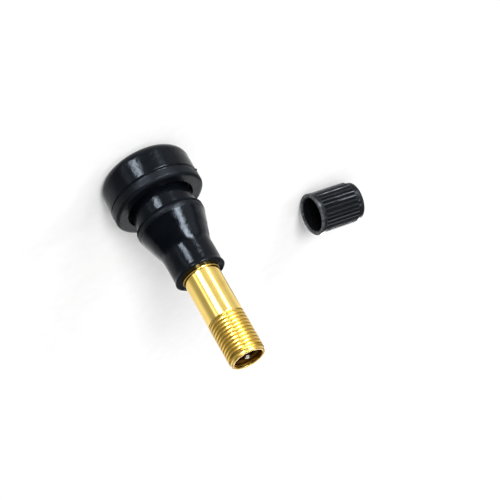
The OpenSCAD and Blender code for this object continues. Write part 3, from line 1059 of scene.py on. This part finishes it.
@dataclass
class ValveCore:
    """The core inside the stem: threaded plug, barrel, sealing ring, sprung pin and its cup.

    Sizes are in millimetres, and those named share are parts of the ridge or of its pitch.
    """

    stem: BrassStem
    wire_r: float = 0.12
    coil_r: float = 0.82
    coil_turns: int = 8
    turn_steps: int = 40
    wire_sides: int = 12
    travel: float = 1.4
    plug_margin: float = 0.3
    bridge_h: float = 1.6
    ridge_proud: float = 0.24
    ridge_sink: float = 0.06
    ridge_steps: int = 64
    ridge_sides: int = 12
    ridge_ease_turns: float = 0.25
    ridge_foot_share: float = -0.3
    ridge_flat_share: float = 0.85
    ridge_width_share: float = 0.36
    ridge_end_share: float = 0.25

    def build_spring(self) -> bpy.types.Object:
        """Makes the spring, a round wire carried along a helix.

        A point is the helix's centre plus the wire's radius times the cosine of the wire's own
        angle outwards and its sine upwards; the helix rises evenly.

        Returns:
            The spring's object.
        """
        low, high = node_box("pin_spring")
        bottom = low[2] + self.wire_r
        top = high[2] - self.wire_r
        share = np.linspace(0.0, 1.0, self.coil_turns * self.turn_steps + 1)[:, None]
        turn = share * self.coil_turns * TURN
        around = -np.arange(self.wire_sides)[None, :] / self.wire_sides * TURN
        radius = self.coil_r + self.wire_r * np.cos(around) + 0.0 * turn
        height = bottom + (top - bottom) * share + self.wire_r * np.sin(around)
        grid = round_points(radius, height, turn + 0.0 * around)
        return Surface("pin_spring_coil", grid, Ends.FANS).build()

    def build_thread(self) -> bpy.types.Object:
        """Makes the plug's thread, a ridge carried along a helix round the plug.

        Across the ridge the section is a cosine with its crest and foot cut flat, and its sine
        gives the width; along it both ease up from little or nothing at the two ends.

        Returns:
            The ridge's object.
        """
        low, high = node_box("core_plug")
        pitch = self.stem.core_thread.pitch
        plug_r = float(high[0])
        bottom = low[2] + self.plug_margin
        top = high[2] - self.bridge_h - self.plug_margin
        turns = (top - bottom) / pitch
        share = np.linspace(0.0, 1.0, math.ceil(turns * self.ridge_steps))[:, None]
        height = bottom + (top - bottom) * share
        angle = height / pitch * TURN
        around = -np.arange(self.ridge_sides)[None, :] / self.ridge_sides * TURN
        ease = smooth_step(share * turns / self.ridge_ease_turns)
        ease = ease * smooth_step((1.0 - share) * turns / self.ridge_ease_turns)
        rise = np.clip(np.cos(around), self.ridge_foot_share, self.ridge_flat_share)
        radius = plug_r + (self.ridge_proud + self.ridge_sink) * rise * ease - self.ridge_sink
        radius = np.maximum(radius, plug_r - 2 * self.ridge_sink)
        taper = self.ridge_end_share + (1.0 - self.ridge_end_share) * ease
        width = pitch * self.ridge_width_share * np.sin(around) * taper
        grid = round_points(radius, height + width, angle + 0.0 * around)
        return Surface("plug_thread", grid, Ends.FANS).build()

    def dress_solids(self) -> None:
        """Gives the core's carried-over solids their finishes."""
        finishes = {
            "core_plug": CORE_BRASS,
            "core_barrel": CORE_BRASS,
            "seal_cup": CORE_BRASS,
            "core_pin": PIN_STEEL,
            "barrel_gasket": GASKET_PLASTIC,
            "cup_seal": SEAL_RUBBER,
        }
        for node, finish in finishes.items():
            material = finish.material()
            for place in frame["nodes"][node].material_slots:
                place.material = material
            LOG.info("%s: %s", node, material.name)

    def dress(self) -> None:
        """Builds and dresses the core's pieces and puts them on their bodies."""
        spring = self.build_spring()
        paint(spring, SPRING_STEEL)
        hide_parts("pin_spring")
        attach(spring, Body.CORE.value)
        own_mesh(spring)
        thread = self.build_thread()
        paint(thread, CORE_BRASS)
        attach(thread, Body.PLUG.value)
        self.dress_solids()


@dataclass(frozen=True)
class PhotoCamera:
    """The camera at the photograph's viewing angle, rolled as the photograph is.

    Attributes:
        target: Point on the stem's axis that it is measured from, in metres.
        distance: Distance from that point, in metres.
        elevation: Height above the horizon, in degrees.
        roll: Roll of the picture, in degrees.
        focal_px: Focal length, in pixels of the picture.
        target_px: Where the point appears, from the picture's upper left.
        image_px: Width and height of the picture.
        sensor_mm: Width of the sensor.
        nearest: Distance of the nearest thing that it shows, in metres.
    """

    target: Triple = (0.0, 0.0, 0.023)
    distance: float = 0.3282
    elevation: float = 24.97
    roll: float = 60.385
    focal_px: float = 1657.7
    target_px: tuple[float, float] = (191.81, 259.18)
    image_px: int = 500
    sensor_mm: float = 36.0
    nearest: float = 0.01

    def make(self) -> None:
        """Places the camera, turned so that the point appears where it should."""
        tilt = math.radians(self.elevation)
        roll = math.radians(self.roll)
        forward = Vector((0.0, math.cos(tilt), -math.sin(tilt)))
        side = Vector((1.0, 0.0, 0.0))
        upward = Vector((0.0, math.sin(tilt), math.cos(tilt)))
        right = math.cos(roll) * upward - math.sin(roll) * side
        top = -math.cos(roll) * side - math.sin(roll) * upward
        place = Vector(self.target) - self.distance * forward
        across = (self.image_px / 2 - self.target_px[0]) / self.focal_px
        down = (self.target_px[1] - self.image_px / 2) / self.focal_px
        aim = (forward + across * right + down * top).normalized()
        right = (right - right.dot(aim) * aim).normalized()
        top = right.cross(aim)
        camera = bpy.data.cameras.new("photo_camera")
        camera.sensor_width = self.sensor_mm
        camera.lens = self.focal_px / self.image_px * self.sensor_mm
        camera.clip_start = self.nearest
        view = bpy.data.objects.new("photo_camera", camera)
        view.matrix_world = Matrix((right, top, -aim)).transposed().to_4x4()
        view.matrix_world.translation = place
        bpy.context.scene.collection.objects.link(view)
        bpy.context.scene.camera = view


@dataclass(frozen=True)
class Panel:
    """A soft-edged light panel far away, which shows in the gloss, with its angles in degrees.

    Attributes:
        bearing: Bearing of its middle at the horizon, from the front to the right.
        half: Half its width.
        soft: Width of its soft sides.
        low: Elevation of its lower edge.
        high: Elevation of its upper edge.
        rise: Height of its soft lower end.
        fall: Height of its soft upper end.
        light: Brightness.
        lean: Degrees that the middle moves to the right for each degree of elevation.
    """

    bearing: float
    half: float
    soft: float
    low: float
    high: float
    rise: float
    fall: float
    light: float
    lean: float = 0.0

    def glow(self, sheet: Sheet, bearing: Socket, elevation: Socket) -> Socket:
        """Adds the panel's light to a sheet.

        The light is an eased window of the distance from the panel's middle, times an eased rise
        above its lower edge and an eased fall below its upper edge.

        Args:
            sheet: The world's sheet.
            bearing: Bearing of the ray, in degrees.
            elevation: Elevation of the ray, in degrees.

        Returns:
            The panel's light along the ray.
        """
        slant = sheet.math("MULTIPLY", elevation, -self.lean)
        offset = sheet.math("SUBTRACT", sheet.math("ADD", bearing, slant), self.bearing)
        across = sheet.math("ABSOLUTE", offset)
        wide = sheet.span(across, self.half - self.soft, self.half, self.light, 0.0)
        rise = sheet.span(elevation, self.low, self.low + self.rise, 0.0, 1.0)
        fall = sheet.span(elevation, self.high - self.fall, self.high, 1.0, 0.0)
        return sheet.math("MULTIPLY", wide, sheet.math("MULTIPLY", rise, fall))


@dataclass(frozen=True)
class Studio:
    """A pale floor under a soft sun and overhead light, with bands and panels for the gloss.

    Angles are in degrees, with bearings from the front to the right. Each band of the lower half
    is a bearing and a brightness, and they blend into each other.
    """

    floor_size: float = 4.0
    floor_colour: Colour = (0.65, 0.65, 0.65)
    floor_shade: float = 0.97
    floor_grain: float = 300.0
    floor_glow: float = 0.1
    floor_rough: float = 0.9
    floor_gloss: float = 0.1
    sun_bearing: float = -8.0
    sun_elevation: float = 27.0
    sun_width: float = 14.0
    sun_light: float = 4.4
    overhead: float = 0.7
    overhead_from: float = 18.0
    overhead_full: float = 44.0
    around: float = 1.3
    around_from: float = -22.0
    dim: float = 0.08
    dim_from: float = -20.0
    backdrop: float = 1.0
    bands: tuple[tuple[float, float], ...] = (
        (-180, 0.9), (-128, 0.88), (-97, 0.62), (-74, 0.88), (-35, 0.92), (-17, 0.85),
        (35, 0.95), (53, 0.4), (74, 0.43), (97, 0.92), (128, 0.78), (180, 0.9),
    )
    panels: tuple[Panel, ...] = (
        Panel(bearing=7.5, half=12.5, soft=11.5, low=-40, high=-13, rise=7, fall=6, light=42),
        Panel(bearing=38, half=8, soft=6, low=-45, high=-14, rise=6, fall=6, light=1.2),
        Panel(bearing=-53, half=9, soft=7, low=-45, high=-14, rise=6, fall=6, light=1.6),
        Panel(bearing=-39, half=12, soft=9, low=-27, high=19, rise=20, fall=7, light=58, lean=0.5),
        Panel(bearing=-60, half=36, soft=22, low=-12, high=32, rise=10, fall=10, light=2.1),
        Panel(bearing=-59, half=5, soft=3, low=23, high=33, rise=3, fall=3, light=14),
        Panel(bearing=-10, half=13, soft=7, low=18, high=36, rise=6, fall=6, light=17),
        Panel(bearing=-75, half=9, soft=5, low=48, high=60, rise=4, fall=4, light=22),
        Panel(bearing=-180, half=16, soft=8, low=-18, high=16, rise=4, fall=4, light=9),
        Panel(bearing=180, half=16, soft=8, low=-18, high=16, rise=4, fall=4, light=9),
        Panel(bearing=-128, half=40, soft=20, low=-26, high=16, rise=12, fall=12, light=0.9),
        Panel(bearing=128, half=40, soft=20, low=-26, high=16, rise=12, fall=12, light=1.2),
    )

    def _floor(self) -> None:
        """Lays a pale floor with a faint grain, a flat grid of four faces that the gloss looks past."""
        half = self.floor_size / 2
        share = np.linspace(-half, half, 3)
        across, along = np.meshgrid(share, share)
        points = np.stack([across, along, 0.0 * along], axis=-1).reshape(-1, 3)
        number = np.arange(len(points)).reshape(across.shape)
        corners = [number[:-1, :-1], number[:-1, 1:], number[1:, 1:], number[1:, :-1]]
        faces = np.stack(corners, axis=-1).reshape(-1, 4)
        mesh = bpy.data.meshes.new("floor")
        mesh.from_pydata(points.tolist(), [], faces.tolist())
        floor = bpy.data.objects.new("floor", mesh)
        bpy.context.scene.collection.objects.link(floor)
        sheet = FinishSheet("floor_paper")
        darker = tuple(self.floor_shade * c for c in self.floor_colour)
        grain = sheet.noise(self.floor_grain, detail=3.0)
        colour = sheet.ramp(grain, {0.3: self.floor_colour, 0.7: darker})
        paper = sheet.finished({
            "Base Color": colour,
            "Emission Color": colour,
            "Emission Strength": self.floor_glow,
            "Roughness": self.floor_rough,
            "Specular IOR Level": self.floor_gloss,
        })
        mesh.materials.append(paper)
        floor.visible_glossy = False

    def _sun(self) -> None:
        """Hangs the soft sun that throws the shadows on the floor and leaves the gloss alone."""
        bearing = math.radians(self.sun_bearing)
        elevation = math.radians(self.sun_elevation)
        level = math.cos(elevation)
        towards = Vector((level * math.sin(bearing), -level * math.cos(bearing), math.sin(elevation)))
        lamp = bpy.data.lights.new("sun", "SUN")
        lamp.energy = self.sun_light
        lamp.angle = math.radians(self.sun_width)
        sun = bpy.data.objects.new("sun", lamp)
        sun.matrix_world = towards.to_track_quat("Z", "Y").to_matrix().to_4x4()
        sun.visible_glossy = False
        bpy.context.scene.collection.objects.link(sun)

    def _world(self) -> None:
        """Sets the light all round: a soft overhead, bands low down and the panels.

        Looked at directly, all of it is a plain pale backdrop.
        """
        world = bpy.data.worlds.new("studio")
        bpy.context.scene.world = world
        world.use_nodes = True
        sheet = Sheet(world.node_tree)
        ray = sheet.node("ShaderNodeTexCoord", {}).outputs["Generated"]
        parts = sheet.node("ShaderNodeSeparateXYZ", {"Vector": ray}).outputs
        front = sheet.math("MULTIPLY", parts["Y"], -1.0)
        bearing = sheet.math("DEGREES", sheet.math("ARCTAN2", parts["X"], front))
        elevation = sheet.math("DEGREES", sheet.math("ARCSINE", parts["Z"]))
        whole = {"Value": bearing, "From Min": -180.0, "From Max": 180.0}
        turn = sheet.node("ShaderNodeMapRange", whole).outputs["Result"]
        bands = sheet.ramp(turn, {(at + 180) / 360: (light,) * 3 for at, light in self.bands})
        below = sheet.span(elevation, self.around_from, 0.0, self.around, 0.0)
        light = sheet.math("MULTIPLY", bands, below)
        dim = sheet.span(elevation, self.dim_from, 0.0, 0.0, self.dim)
        overhead = sheet.span(elevation, self.overhead_from, self.overhead_full, 0.0, self.overhead)
        light = sheet.math("ADD", sheet.math("ADD", light, dim), overhead)
        for panel in self.panels:
            light = sheet.math("ADD", light, panel.glow(sheet, bearing, elevation))
        seen = sheet.node("ShaderNodeLightPath", {}).outputs["Is Camera Ray"]
        unseen = sheet.math("MULTIPLY", light, sheet.span(seen, 0.0, 1.0, 1.0, 0.0))
        pale = sheet.math("MULTIPLY", seen, self.backdrop)
        shine = sheet.node("ShaderNodeBackground", {"Strength": sheet.math("ADD", unseen, pale)})
        sheet.node("ShaderNodeOutputWorld", {"Surface": shine.outputs["Background"]})

    def make(self) -> None:
        """Sets up the floor, the light and the picture's plain tone curve."""
        self._floor()
        self._sun()
        self._world()
        bpy.context.scene.view_settings.view_transform = "Standard"


def main() -> None:
    """Builds the camera, the studio and the pieces in order."""
    logging.basicConfig(level=logging.INFO, format="%(name)s: %(message)s")
    PhotoCamera().make()
    Studio().make()
    stem = BrassStem()
    stem.dress()
    RubberBody(stem).dress()
    ValveCore(stem).dress()
    DustCap().dress()


if __name__ == "__main__":
    main()
